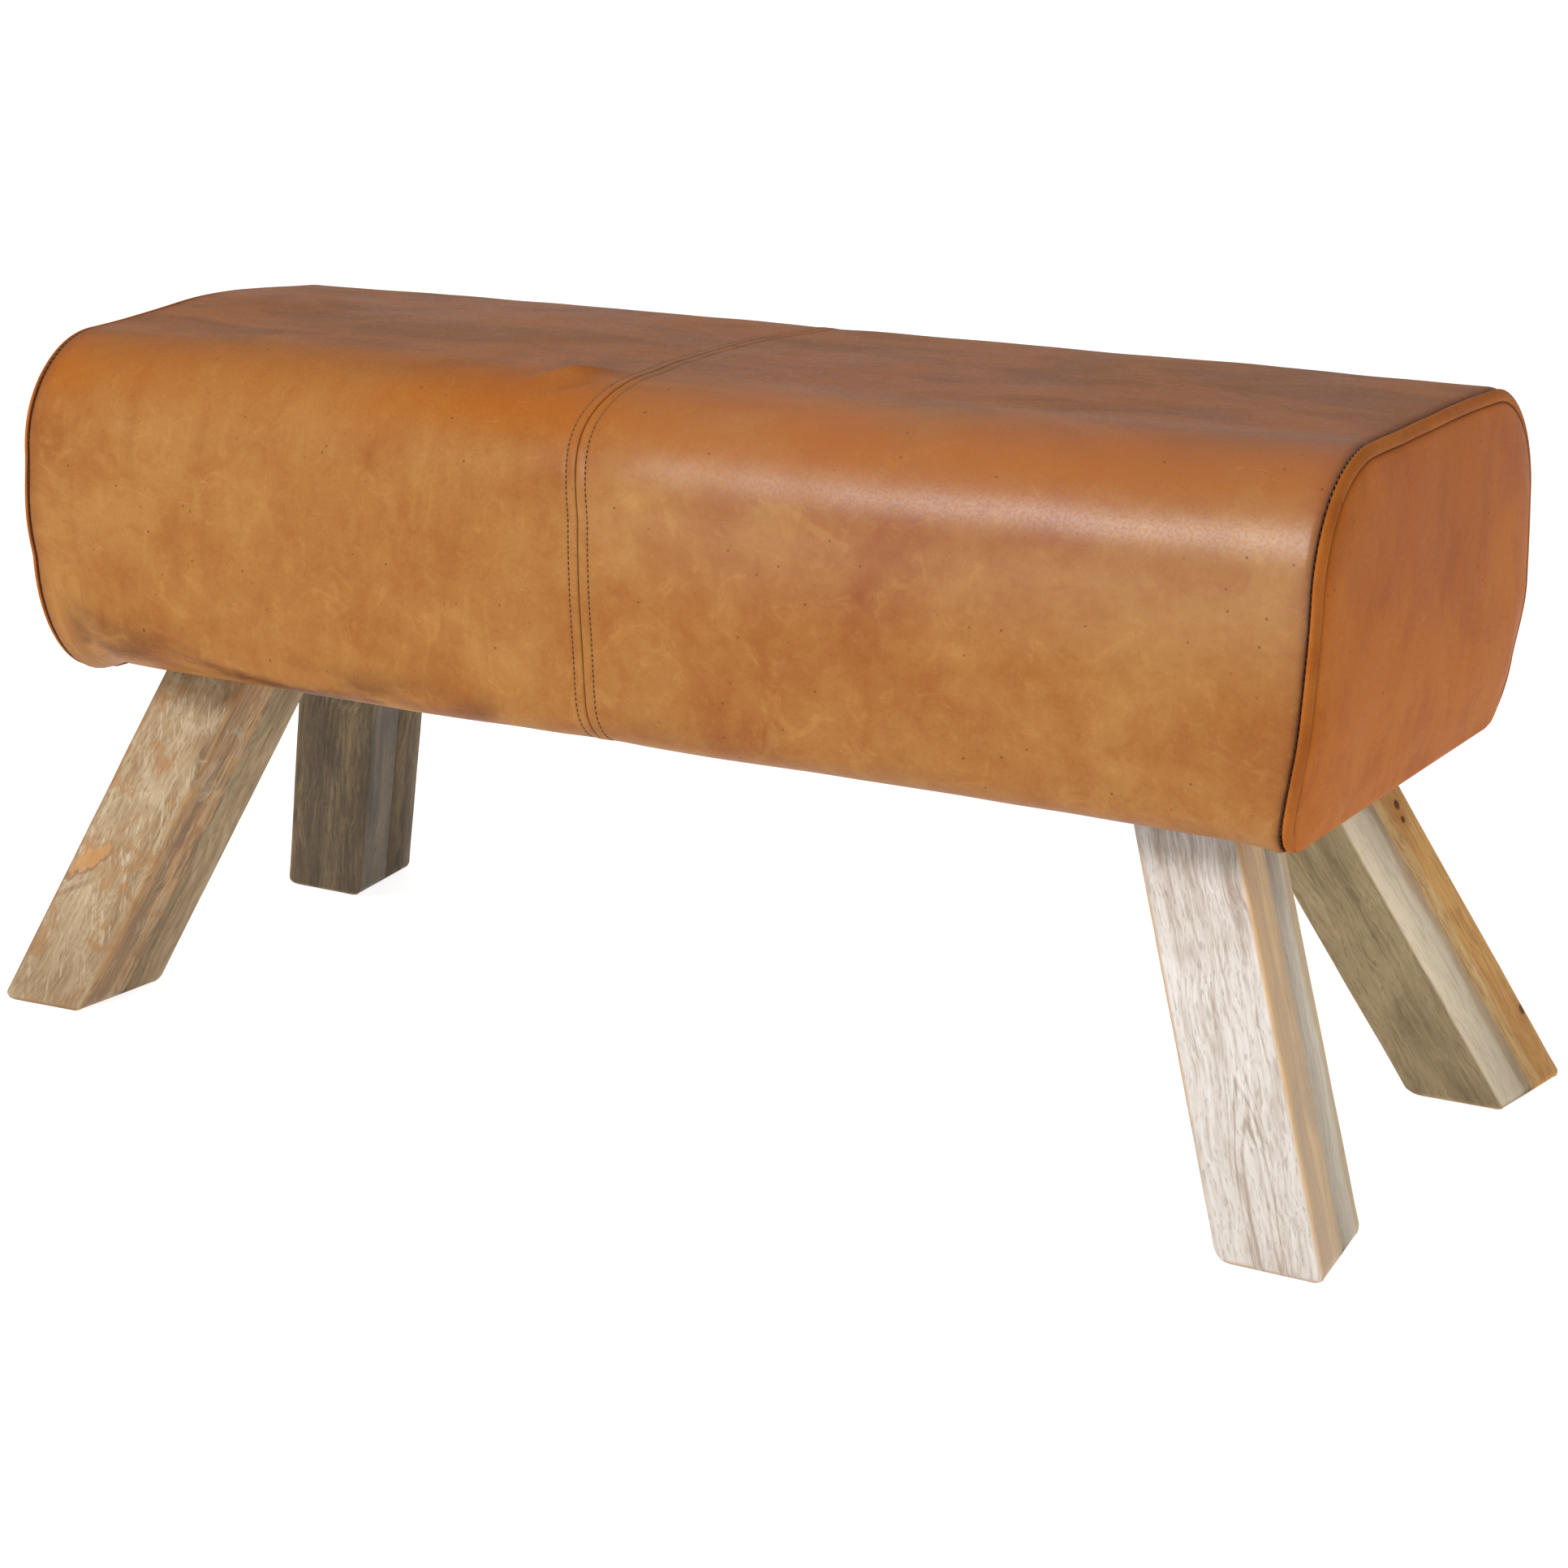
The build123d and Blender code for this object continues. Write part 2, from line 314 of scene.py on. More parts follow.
# GIRTH_STEPS are the lengths of the outline's parts, from the middle of the seat to the tuck.
# Each cross section: heights of the seat and the lower edge, half breadth at the shoulder and
# low down, the shoulder's breadth and height, the lower corner's breadth and height.
MIDDLE = (SEAT_TOP - 0.0005, 0.2605, 0.1965, 0.1965, 0.082, 0.082, 0.030, 0.034)
LEFT_FRONT = (0.4965, 0.2600, 0.2045, 0.2050, 0.078, 0.082, 0.066, 0.094)
LEFT_BACK = (0.4965, 0.2600, 0.1985, 0.1995, 0.081, 0.083, 0.060, 0.085)
RIGHT_FRONT = (0.4990, 0.2600, 0.1865, 0.1975, 0.082, 0.085, 0.020, 0.026)
RIGHT_BACK = (0.5000, 0.2640, 0.1875, 0.1890, 0.082, 0.084, 0.050, 0.046)
print("half girth:", round(HALF_GIRTH * 1000), "mm")


def smooth(t):
    t = max(0, min(1, t))
    return t * t * (3 - 2 * t)


# %% Where the leather lies
def shape_at(x, front):
    """The eight measures of the cross section at x. front runs from 0, back, to 1, front."""
    broad = (smooth((-0.28 - x) / 0.19), smooth((x - 0.30) / 0.18))
    late = (smooth((-0.415 - x) / 0.06), smooth((x - 0.452) / 0.036))
    corner = (0.45 * broad[0] + 0.55 * late[0], 0.30 * broad[1] + 0.70 * late[1])
    shares = [broad, late, broad, broad, broad, broad, corner, corner]
    made = []
    for i, middle in enumerate(MIDDLE):
        left = LEFT_BACK[i] + front * (LEFT_FRONT[i] - LEFT_BACK[i])
        right = RIGHT_BACK[i] + front * (RIGHT_FRONT[i] - RIGHT_BACK[i])
        made.append(middle + shares[i][0] * (left - middle) + shares[i][1] * (right - middle))
    sag = 0.0150 * smooth((-0.425 - x) / 0.06) * (0.5 + 0.5 * front)
    tip = 0.0006 * smooth((x - 0.445) / 0.03) * front
    made[1] -= sag + tip
    made[3] += 0.005 * smooth((x - 0.462) / 0.03) * front
    return made


def outline(x, girth):
    """Half breadth and height of the leather at x and girth."""
    front = smooth(0.5 + girth / 0.2)
    top, bottom, upper, lower, sh_w, sh_h, co_w, co_h = shape_at(x, front)
    run = abs(girth)
    step = 0
    while step < 4 and run > GIRTH_STEPS[step]:
        run -= GIRTH_STEPS[step]
        step += 1
    t = run / GIRTH_STEPS[step]
    quarter = t * math.pi / 2
    if step == 0:
        crown = 0.0015 * (1 - t * t)
        return t * (upper - sh_w), top + crown * (1 - abs(x) * 0.8)
    if step == 1:
        return upper - sh_w + sh_w * math.sin(quarter), top - sh_h + sh_h * math.cos(quarter)
    if step == 2:
        z = top - sh_h + t * (bottom + co_h - top + sh_h)
        return upper + (lower - upper) * smooth(t) + 0.002 * math.sin(math.pi * t), z
    if step == 3:
        return lower - co_w + co_w * math.cos(quarter), bottom + co_h - co_h * math.sin(quarter)
    inner = lower - co_w
    return inner + t * (TUCK_LINE - inner), bottom + smooth(t) * (TUCK_HEIGHT - bottom)


print("shoulder at x = 0:", [round(v, 3) for v in outline(0.0, FLAT_TOP + SHOULDER_TURN / 2)])

# %% The wandering centre seam
SEAM_LINE = ((-0.46, -0.012), (-0.20, -0.013), (-0.10, -0.014), (-0.03, -0.025), (0.06, -0.020),
             (0.114, -0.013), (0.187, -0.023), (0.25, -0.016), (0.35, -0.0125), (0.46, -0.009))


def seam_x(girth):
    """Where the centre seam runs: it was sewn by hand and eye, so it isn't quite straight."""
    for (g0, x0), (g1, x1) in zip(SEAM_LINE, SEAM_LINE[1:]):
        if girth <= g1:
            return x0 + (x1 - x0) * smooth((girth - g0) / (g1 - g0))
    return SEAM_LINE[-1][1]


BODY_LEFT, BODY_RIGHT = -0.479, 0.4905


def edge_x(side, girth):
    """The wrap's sewn edge at an end. It is drawn in a little where it turns under."""
    under = smooth((abs(girth) - 0.31) / 0.09)
    if side > 0:
        return BODY_RIGHT - 0.0095 * under
    return BODY_LEFT + 0.004 * under


print("the seam crosses the seat at x =", round(seam_x(0.0), 3))

# %% [markdown]
# ## Relief of the hide
# Leather over foam is never quite flat. It swells and dips softly, sinks into its seams,
# and creases where the foam bunches. Each of these is a small push along the surface's
# normal, so they add up without disturbing each other.

# %% Relief
STITCH_OFFSET = 0.0075
CREASES = (
    ((-0.086, 0.146), (-0.036, 0.114), 0.0054, 0.0046),
    ((-0.078, 0.160), (-0.030, 0.128), -0.0020, 0.0055),
    ((0.02, 0.128), (0.11, 0.136), -0.0006, 0.0100),
)


def bell(distance, width):
    return math.exp(-(distance / width) ** 2)


def crease(x, girth, start, end, height, width):
    run = Vector(end) - Vector(start)
    off = Vector((x, girth)) - Vector(start)
    along = off.dot(run) / run.length_squared
    if along < -0.3 or along > 1.3:
        return 0
    aside = abs(off.x * run.y - off.y * run.x) / run.length
    return height * bell(aside, width) * bell(along - 0.5, 0.36)


def relief(x, girth):
    flat = Vector((x, girth, 0))
    swell = 0.0010 * noise.noise(flat * 8) + 0.0005 * noise.noise(flat * 21 + Vector((5, 3, 1)))
    off = x - seam_x(girth)
    seam = 0.0006 * bell(off, 0.0065) - 0.0009 * bell(off, 0.0010)
    seam -= 0.0005 * bell(abs(off) - STITCH_OFFSET, 0.0012) + 0.0008 * bell(off, 0.035)
    folds = sum(crease(x, girth, *fold) for fold in CREASES)
    side = 1 if x > 0 else -1
    to_edge = max(0, side * (edge_x(side, girth) - x))
    roll = -0.0024 * max(0, 1 - to_edge / 0.006) ** 2
    plump = 0.0070 * smooth((-0.34 - x) / 0.12) * bell(girth + 0.012, 0.080)
    return swell + seam + folds + roll + plump


def skin(x, girth, lift=0):
    """The point of the leather at x and girth, lifted off it, with its normal."""
    def at(g):
        breadth, height = outline(x, g)
        return Vector((x, -breadth if g > 0 else breadth, height))
    step = 0.0008
    ahead, behind = at(girth + step), at(girth - step)
    run = (ahead - behind).normalized()
    normal = Vector((0, run.z, -run.y))
    if girth == 0:
        normal = Vector((0, 0, 1))
    return at(girth) + normal * (relief(x, girth) + lift), normal


p, n = skin(0.2, 0.30)
print("front face point:", [round(v, 3) for v in p], "normal:", [round(v, 2) for v in n])

# %% [markdown]
# ## Leather
# The hide is vegetable-tanned and waxed. It is cloudy, golden and rust in turn, with a
# worn, redder seat, fine grain, a few dark specks, pale scratches and a soft waxy gloss.

# %% Leather finish
RUST = tint(136, 72, 28)
TAN = tint(153, 98, 46)
GOLD = tint(167, 119, 64)
UMBER = tint(82, 47, 24)


def leather(name, wrap):
    """wrap is True for the two big hides and False for the redder ends and welts."""
    f = Finish(name)
    hide = f.flat("hide")
    x, girth, _ = f.axes(hide)
    cloud = f.noise(hide, 5.5, 5, 0.55, 0.6)
    blotch = f.noise(f.moved(hide, 3, 1, 0), 17, 6, 0.62, 0.4)
    mottle = f.noise(hide, 85, 5, 0.65)
    tone = cloud * 0.58 + blotch * 0.32 + mottle * 0.18
    colour = f.ramp(tone, [(0.38, RUST), (0.52, TAN), (0.68, GOLD)])
    if wrap:
        golden = x.span(0.02, -0.16) * blotch.span(0.30, 0.55, 0.5, 1)
        colour = colour.tinted(golden * 0.40, 160, 110, 54)
        drawn = f.noise(hide, (38, 9, 1), 5, 0.7, 0.8)
        drawing = x.span(0.02, -0.12, 0.05, 0.20)
        colour = colour.tinted(drawn.span(0.50, 0.68) * drawing, 132, 72, 30)
        colour = colour.tinted(drawn.span(0.48, 0.32) * drawing, 182, 134, 70)
        flecked = f.noise(f.moved(hide, 0, 4, 0), 32, 6, 0.7, 1)
        colour = colour.tinted(flecked.span(0.50, 0.66) * 0.24, 140, 72, 28)
        colour = colour.tinted(flecked.span(0.46, 0.34) * 0.22, 188, 138, 76)
        shoulder = girth.span(0.10, 0.15) * girth.span(0.225, 0.165)
        colour = colour.tinted(shoulder * cloud.span(0.66, 0.40, 0.35, 0.80), 168, 92, 22)
        worn = girth.span(0.185, 0.10) * girth.span(-0.185, -0.10)
        streaks = f.noise(hide, (7, 18, 1), 6, 0.66, 0.8)
        worn_colour = f.mix(streaks.span(0.38, 0.66), tint(148, 84, 42), tint(114, 62, 32))
        colour = f.mix(worn * 0.72, colour, worn_colour)
        # Darker patches low on the front, where the hide turns under, growing towards the left end.
        low_patches = f.noise(hide, (9, 22, 1), 4, 0.6, 0.5)
        low = girth.span(0.360, 0.395) * low_patches.span(0.40, 0.62) * x.span(-0.465, -0.44)
        colour = colour.tinted(low * x.span(0.10, -0.25, 0.20, 0.85), 92, 50, 24)
        edges = x.span(-0.462, -0.476) + x.span(0.470, 0.486) * 0.6
        colour = colour.tinted(edges * 0.35, 120, 56, 24)
    else:
        vertical = f.noise(hide, (21, 13, 1), 7, 0.68, 0.5)
        colour = colour.tinted(0.70, 187, 102, 34)
        colour = colour.tinted(vertical.span(0.44, 0.66) * 0.42, 150, 74, 26)
        colour = colour.tinted(cloud.span(0.50, 0.36) * 0.30, 140, 72, 26)
    dots = f.cells(hide, 66).span(0.085, 0.035) * f.noise(hide, 11, 2).span(0.38, 0.52)
    colour = f.mix(dots * 0.65, colour, UMBER)
    scuff = f.noise(f.moved(hide, 7, 2, 0), (9, 60, 1), 2, 0.5, 1.2)
    scuffs = abs(scuff - 0.5).span(0.006, 0) * f.noise(hide, 13, 2).span(0.52, 0.66)
    colour = colour.tinted(scuffs * 0.30, 190, 140, 84)
    # Dark dressing of cut edges, together with painted shade in the seams, along the stitching and in the
    # grooves beside the welts.
    burnish = f.painted("burnish")
    colour = colour.tinted(burnish * 0.85, 70, 34, 18)
    speckle = f.noise(hide, 420, 3, 0.7)
    colour = f.mix(speckle.span(0.56, 0.72) * 0.22, colour, UMBER)
    colour = colour.tinted(speckle.span(0.44, 0.30) * 0.16, 196, 140, 76)
    grain = f.cells(hide, 620) * 0.5 + speckle * 0.5
    pebble = f.noise(hide, 190, 4, 0.6, 0.8)
    height = grain * 0.35 + pebble * 0.9 + blotch * 1.6 - dots * 0.5 - scuffs * 0.4
    roughness = tone.span(0.40, 0.66, 0.38, 0.50) + pebble.span(0.3, 0.7, -0.03, 0.05)
    if wrap:
        waxed = x.span(-0.08, 0.12, 0.04, 1) * girth.span(0.09, 0.17)
        waxed = waxed * girth.span(0.31, 0.235, 0.10, 1)
    else:
        waxed = blotch.span(0.35, 0.65, 0, 0.03)
    f.plug(f.shader.inputs["Coat Weight"], waxed * speckle.span(0.36, 0.60, 0.55, 1))
    return f.done(colour, roughness, f.bump(height, 0.68, 0.0006),
                  Specular_IOR_Level=0.09 if wrap else 0.025, Coat_Roughness=0.34)


cover_leather = leather("cover_leather", wrap=True)
end_leather = leather("end_leather", wrap=False)
welt_leather = leather("welt_leather", wrap=False)
print("leather finishes:", cover_leather.name, end_leather.name, welt_leather.name)

# %% [markdown]
# ## The two hides
# Each hide starts as a flat grid, finer near its sewn edges, and every vertex is laid on
# the body. Its flat place is kept as the UV map, so that the leather's pattern follows
# the surface. Solidify then gives the sheet its real thickness, inwards.

# %% Piece helper
def piece_from(bm, name, finish, replaces=()):
    """Makes a bmesh into a finished piece that rides on the bench."""
    for face in bm.faces:
        face.smooth = True
    piece = object_from(bm, name, finish)
    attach(piece, "root")
    if replaces:
        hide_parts(*replaces)
    print(name, len(piece.data.polygons), "faces")
    return piece


def write_flat_places(bm, uv, flat):
    """Keeps each vertex's flat place as the UV map that the leather's pattern follows."""
    for face in bm.faces:
        for loop in face.loops:
            loop[uv].uv = flat[loop.vert.index]


def turn_outwards(bm, round_axis):
    """Reverses an open sheet whose faces look inwards, at the bench's long axis or its heart."""
    score = 0
    for face in list(bm.faces)[::37]:
        middle = face.calc_center_median()
        heart = Vector((middle.x if round_axis else 0, 0, BODY_HEART))
        score += face.normal.dot(middle - heart)
    if score < 0:
        bmesh.ops.reverse_faces(bm, faces=bm.faces[:])


def add_thickness(piece, thickness, offset=-1):
    """Gives a sheet its thickness, inwards for an offset of -1 and outwards for 1."""
    wall = piece.modifiers.new("thickness", "SOLIDIFY")
    wall.thickness = thickness
    wall.offset = offset


print("piece helpers ready")

# %% Hides
HIDE_COLUMNS, HIDE_ROWS = 150, 284
SEAM_GAP = 0.00008
DENSER_ENDS = 0.75


def denser_ends(t):
    """Even steps made finer towards both ends."""
    return t - DENSER_ENDS * math.sin(math.tau * t) / math.tau


def leather_grid(columns, rows, size=0.5):
    """A flat grid with the two layers that the leather finish reads."""
    bm = bmesh.new()
    uv = bm.loops.layers.uv.new("hide")
    burnish = bm.verts.layers.float.new("burnish")
    bmesh.ops.create_grid(bm, x_segments=columns, y_segments=rows, size=size)
    return bm, uv, burnish


def lay_sheet(columns, rows, x_at, girth_at, lift=0, burnish_and_shade_at=None):
    """A grid laid on the body. Its flat place stays as its UV map."""
    bm, uv, burnish = leather_grid(columns, rows)
    flat = {}
    for vert in bm.verts:
        across, round_body = vert.co.x + 0.5, vert.co.y + 0.5
        girth = girth_at(round_body)
        x = x_at(across, girth)
        flat[vert.index] = (x, girth)
        vert.co = skin(x, girth, lift)[0]
        if burnish_and_shade_at:
            vert[burnish] = burnish_and_shade_at(x, girth)
    write_flat_places(bm, uv, flat)
    bm.normal_update()
    turn_outwards(bm, round_axis=True)
    return bm


def hide_burnish_and_groove_shade(x, girth):
    """Dark dressing and painted shade in the seam, along its stitching and at the cut edge."""
    off = x - seam_x(girth)
    side = 1 if x > 0 else -1
    to_edge = abs(edge_x(side, girth) - x)
    line = 0.50 * bell(off, 0.0006) + 0.22 * bell(abs(off) - STITCH_OFFSET, 0.0009)
    ragged = 0.5 + 0.5 * noise.noise(Vector((girth * 160, x * 160, 4)))
    return min(1, line + 0.9 * bell(to_edge, 0.0012) + 0.75 * ragged * bell(to_edge, 0.0034))


def make_hide(name, side):
    def x_at(across, girth):
        start, end = seam_x(girth) + side * SEAM_GAP / 2, edge_x(side, girth)
        return start + (end - start) * denser_ends(across)
    bm = lay_sheet(HIDE_COLUMNS, HIDE_ROWS, x_at, lambda t: (2 * t - 1) * HALF_GIRTH,
                   burnish_and_shade_at=hide_burnish_and_groove_shade)
    piece = piece_from(bm, f"{name}_hide", cover_leather, [name])
    add_thickness(piece, HIDE)


make_hide("cover_left", -1)
make_hide("cover_right", 1)

# %% [markdown]
# ## Seam tape
# A cotton tape is sewn behind the centre seam to take the strain. It could be a plain
# ribbon, but laid like the hides it follows the wandering seam on its own.

# %% Seam tape
def cloth(name, light, dark, threads):
    """A plain weave of that many threads to the metre."""
    f = Finish(name)
    x, y, z = f.axes(f.place())
    warp = (x * threads * math.tau).sum_with("SINE")
    weft = ((y + z) * threads * math.tau).sum_with("SINE")
    weave = warp * weft * 0.5 + 0.5
    fuzz = f.noise(f.place(), 240, 4, 0.6)
    colour = f.mix(weave * 0.6 + fuzz * 0.4, dark, light)
    return f.done(colour, 0.95, f.bump(weave + fuzz, 0.5, 0.0003), Specular_IOR_Level=0.2)


seam_tape_cloth = cloth("seam_tape", tint(196, 178, 146), tint(150, 132, 102), 900)
TAPE_WIDTH, TAPE_REACH, TAPE_THICKNESS = 0.032, 0.425, 0.001
bm = lay_sheet(8, 200, lambda across, girth: seam_x(girth) + TAPE_WIDTH * (across - 0.5),
               lambda t: (2 * t - 1) * TAPE_REACH, -HIDE - 0.0001)
seam_tape = piece_from(bm, "seam_tape_cotton", seam_tape_cloth, ["seam_tape"])
add_thickness(seam_tape, TAPE_THICKNESS)

# %% [markdown]
# ## Thread
# Two rows of topstitching run beside the centre seam, and a coarser row closes each end
# seam. A painted line would look flat from the side, so every stitch is a small lens of
# thread, half sunk into the leather, with just the few faces that its size needs.

# %% Stitches
def thread_finish(name, dark, light):
    """Thread that is dark with wax, with a painted pale sheen where it lies on the seat."""
    f = Finish(name)
    strand = f.noise(f.place(), 900, 3, 0.6)
    colour = f.mix(strand.span(0.30, 0.70), dark, light)
    # Painted sheen: the thread turns paler near the top of the seat.
    painted_top_sheen = f.axes(f.place())[2].span(SEAT_TOP - 0.045, SEAT_TOP - 0.006)
    colour = colour.tinted(painted_top_sheen * 0.55, 150, 132, 100)
    return f.done(colour, 0.7, f.bump(strand, 0.4, 0.0002), Specular_IOR_Level=0.1)


seam_thread = thread_finish("seam_thread", tint(44, 30, 18), tint(92, 68, 40))
end_thread = thread_finish("end_thread", tint(38, 22, 16), tint(82, 46, 32))


def add_stitch(bm, centre, along, up, length, width, height):
    """One stitch: a few-sided lens of thread lying along the seam."""
    side = up.cross(along).normalized()
    turn = Matrix((along.normalized(), side, up)).transposed().to_4x4()
    size = Matrix.Diagonal((length, width, height, 1))
    bmesh.ops.create_uvsphere(bm, u_segments=6, v_segments=4, radius=0.5,
                              matrix=Matrix.Translation(centre) @ turn @ size)


def row_of_stitches(bm, x_of, pitch, reach, length, width, height, lift, slant=0):
    count = int(2 * reach / pitch)
    for i in range(count):
        girth = -reach + (i + 0.5) * pitch
        here, up = skin(x_of(girth), girth, lift)
        ahead, _ = skin(x_of(girth + 0.001) + slant * 0.001, girth + 0.001, lift)
        add_stitch(bm, here, ahead - here, up, length, width, height)


for side, name in ((-1, "topstitch_left"), (1, "topstitch_right")):
    bm = bmesh.new()
    row_of_stitches(bm, lambda g: seam_x(g) + side * STITCH_OFFSET, 0.0036, 0.435,
                    0.0027, 0.0011, 0.0008, 0.0001)
    piece_from(bm, name, seam_thread)

# %% [markdown]
# ## Welts
# A folded welt is sewn into each end seam. It lies mostly on the end face as a rounded
# border, with a dark stitched gap on one side and a fine groove on the other.

# %% Welt
# distance out along the bench from the wrap's edge, and in from the body's outline
WELT_LOOP = ((0.0005, 0.0042), (0.0006, 0.0022), (0.0013, 0.0011), (0.0027, 0.0010),
             (0.0041, 0.0024), (0.0052, 0.0046), (0.0058, 0.0070), (0.0054, 0.0088),
             (0.0042, 0.0093), (0.0030, 0.0080), (0.0022, 0.0058), (0.0012, 0.0048))


def on_loop(points, t):
    """A smooth closed curve through the points, t from 0 to 1."""
    count = len(points)
    place = (t % 1) * count
    i = int(place) % count
    u = place - int(place)
    a, b, c, d = (Vector(points[(i + k) % count]) for k in (-1, 0, 1, 2))
    square = 2 * a - 5 * b + 4 * c - d
    cube = 3 * b - a - 3 * c + d
    return 0.5 * (2 * b + (c - a) * u + square * u ** 2 + cube * u ** 3)


def end_point(side, girth, out, inset):
    """A point near an end: out from the wrap's edge, in from the body's outline."""
    edge = edge_x(side, girth)
    point, normal = skin(edge - side * 0.007, girth)
    return Vector((edge + side * out, point.y, point.z)) - normal * inset, normal


WELT_REACH = 0.418


def make_welt(name, side):
    bm, uv, burnish = leather_grid(320, 24)
    flat = {}
    for vert in bm.verts:
        girth = vert.co.x * 2 * WELT_REACH
        turn = vert.co.y + 0.5
        out, inset = on_loop(WELT_LOOP, turn)
        flat[vert.index] = (girth, turn * 0.02 + 0.5)
        vert.co = end_point(side, girth, out, inset)[0]
        worn = 0.20 + 0.22 * noise.noise(Vector((girth * 26, turn * 3, side)))
        # Painted shade in the stitched gap and in the fine groove at the welt's two sides, over its own
        # darker tone.
        painted_groove_shade = smooth((0.0014 - out) / 0.001) + smooth((inset - 0.0080) / 0.001) * 0.7
        vert[burnish] = min(1, max(0, worn) + painted_groove_shade)
    write_flat_places(bm, uv, flat)
    bmesh.ops.remove_doubles(bm, verts=bm.verts[:], dist=0.00001)
    bmesh.ops.holes_fill(bm, edges=[e for e in bm.edges if e.is_boundary], sides=0)
    bmesh.ops.recalc_face_normals(bm, faces=bm.faces[:])
    piece_from(bm, f"{name}_strip", welt_leather, [name])


for side, end in ((-1, "left"), (1, "right")):
    make_welt(f"welt_{end}", side)
    bm = bmesh.new()
    row_of_stitches(bm, lambda g: edge_x(side, g) + side * 0.0002, 0.0046, 0.405,
                    0.0040, 0.0011, 0.0009, 0.0002, slant=0.35 * side)
    piece_from(bm, f"end_seam_thread_{end}", end_thread)

# %% [markdown]
# ## End panels
# Each end is one panel, drawn tight over foam so that it domes a little, and folded
# under the base at its lower edge. A square grid is mapped ring by ring onto the
# panel's outline, which keeps the faces even and leaves no pole.

# %% End panel
PANEL_INSET = 0.0088
UNDERCUT_TOP = 0.347
PANEL_GRID = 96
RIM_RISE = 0.0042
FOLD_STEPS = ((0.0016, 0.0012), (0.0030, 0.0010), (0.0050, 0.0004), (0.0500, 0))


def panel_rim(side):
    """The panel's closed outline from the middle of its lower edge, and its four corners."""
    points, girths = [], []
    low_girth = FLAT_TOP + SHOULDER_TURN + SIDE_DROP + CORNER_TURN
    samples = 120
    for i in range(samples + 1):
        girth = low_girth * (1 - 2 * i / samples)
        inset = PANEL_INSET - 0.0080 * smooth((abs(girth) - 0.385) / 0.03)
        points.append(end_point(side, girth, 0, inset)[0])
        girths.append(girth)
    first, last = points[0], points[-1]
    ring = points + [last.lerp(first, k / 40) for k in range(1, 40)]
    lengths = [0]
    for a, b in zip(ring, ring[1:] + ring[:1]):
        lengths.append(lengths[-1] + (b - a).length)
    def along(girth):
        i = min(range(len(girths)), key=lambda k: abs(girths[k] - girth))
        return lengths[i]
    return ring, lengths, [along(0.395), along(0.175), along(-0.175), along(-0.395)]


def rim_point(ring, lengths, place):
    """The point of the rim at a distance along it."""
    place %= lengths[-1]
    low = bisect.bisect_right(lengths, place, 0, len(ring)) - 1
    share = (place - lengths[low]) / (lengths[low + 1] - lengths[low])
    return ring[low].lerp(ring[(low + 1) % len(ring)], share)


def place_on_square(a, b):
    """Which side of the square a rim vertex is on (front, top, back, underside) and how far."""
    if a <= -1 + 1e-9:
        return 0, (b + 1) / 2
    if b >= 1 - 1e-9:
        return 1, (a + 1) / 2
    if a >= 1 - 1e-9:
        return 2, (1 - b) / 2
    return 3, (1 - a) / 2


def panel_rise(side, place, depth):
    """How far the panel stands out of its rim: a rolled edge, a dome and soft waves."""
    rolled = 0.0020 * (1 - math.exp(-depth / 0.0012))
    domed = 0.0042 * (1 - math.exp(-depth / 0.022))
    wave = 0.0009 * noise.noise(Vector((place.y, place.z, side)) * 16)
    return RIM_RISE + rolled + domed + wave * smooth(depth / 0.01)


def fold_under(bm, side):
    """Extrudes the panel's lower edge in four steps, round and then flat under the base."""
    low_edges = [e for e in bm.edges if e.is_boundary
                 and all(v.co.z < 0.272 and abs(v.co.y) < 0.135 for v in e.verts)]
    for run, drop in FOLD_STEPS:
        grown = bmesh.ops.extrude_edge_only(bm, edges=low_edges)["geom"]
        fresh = [g for g in grown if isinstance(g, bmesh.types.BMVert)]
        bmesh.ops.translate(bm, verts=fresh, vec=(-side * run, 0, -drop))
        low_edges = [g for g in grown if isinstance(g, bmesh.types.BMEdge)
                     and all(v in fresh for v in g.verts)]
    for vert in fresh:
        vert.co.z = TUCK_HEIGHT


def make_end_panel(name, side):
    ring, lengths, corners = panel_rim(side)
    corners.append(corners[0] + lengths[-1])
    bm, uv, burnish = leather_grid(PANEL_GRID, PANEL_GRID, size=1)
    for vert in bm.verts:
        a, b = vert.co.x, vert.co.y
        size = max(abs(a), abs(b))
        if size < 1e-9:
            vert.co = Vector((edge_x(side, 0) + side * 0.0104, 0, BODY_HEART))
            continue
        quarter, t = place_on_square(a / size, b / size)
        start, end = corners[quarter:quarter + 2]
        rim = rim_point(ring, lengths, start + (end - start) * t)
        place = Vector((rim.x, 0, BODY_HEART)).lerp(rim, 1 - (1 - size) ** 1.35)
        depth = (rim - place).length
        drawn_in = edge_x(side, 0.31 + max(0, UNDERCUT_TOP - place.z))
        flat_x = rim.x + (drawn_in - rim.x) * smooth(depth / 0.03)
        vert.co = Vector((flat_x + side * panel_rise(side, place, depth), place.y, place.z))
        # Painted shade along the panel's rim, where it meets the groove beside the welt.
        vert[burnish] = bell(depth, 0.0009) * 0.6
    fold_under(bm, side)
    bm.verts.index_update()
    write_flat_places(bm, uv, [(v.co.y + side * 2, v.co.z - 0.01 * side) for v in bm.verts])
    bm.normal_update()
    turn_outwards(bm, round_axis=False)
    piece = piece_from(bm, f"{name}_hide", end_leather, [name])
    add_thickness(piece, HIDE)


make_end_panel("end_panel_left", -1)
make_end_panel("end_panel_right", 1)

# %% [markdown]
# ## Foam
# Foam slabs fill the space between the plywood box and the leather. Each starts as a
# sheet just inside the hide, and is extruded inwards until it meets the box. The two end
# slabs are cubes cut into small faces, squeezed between the box and the end panel.

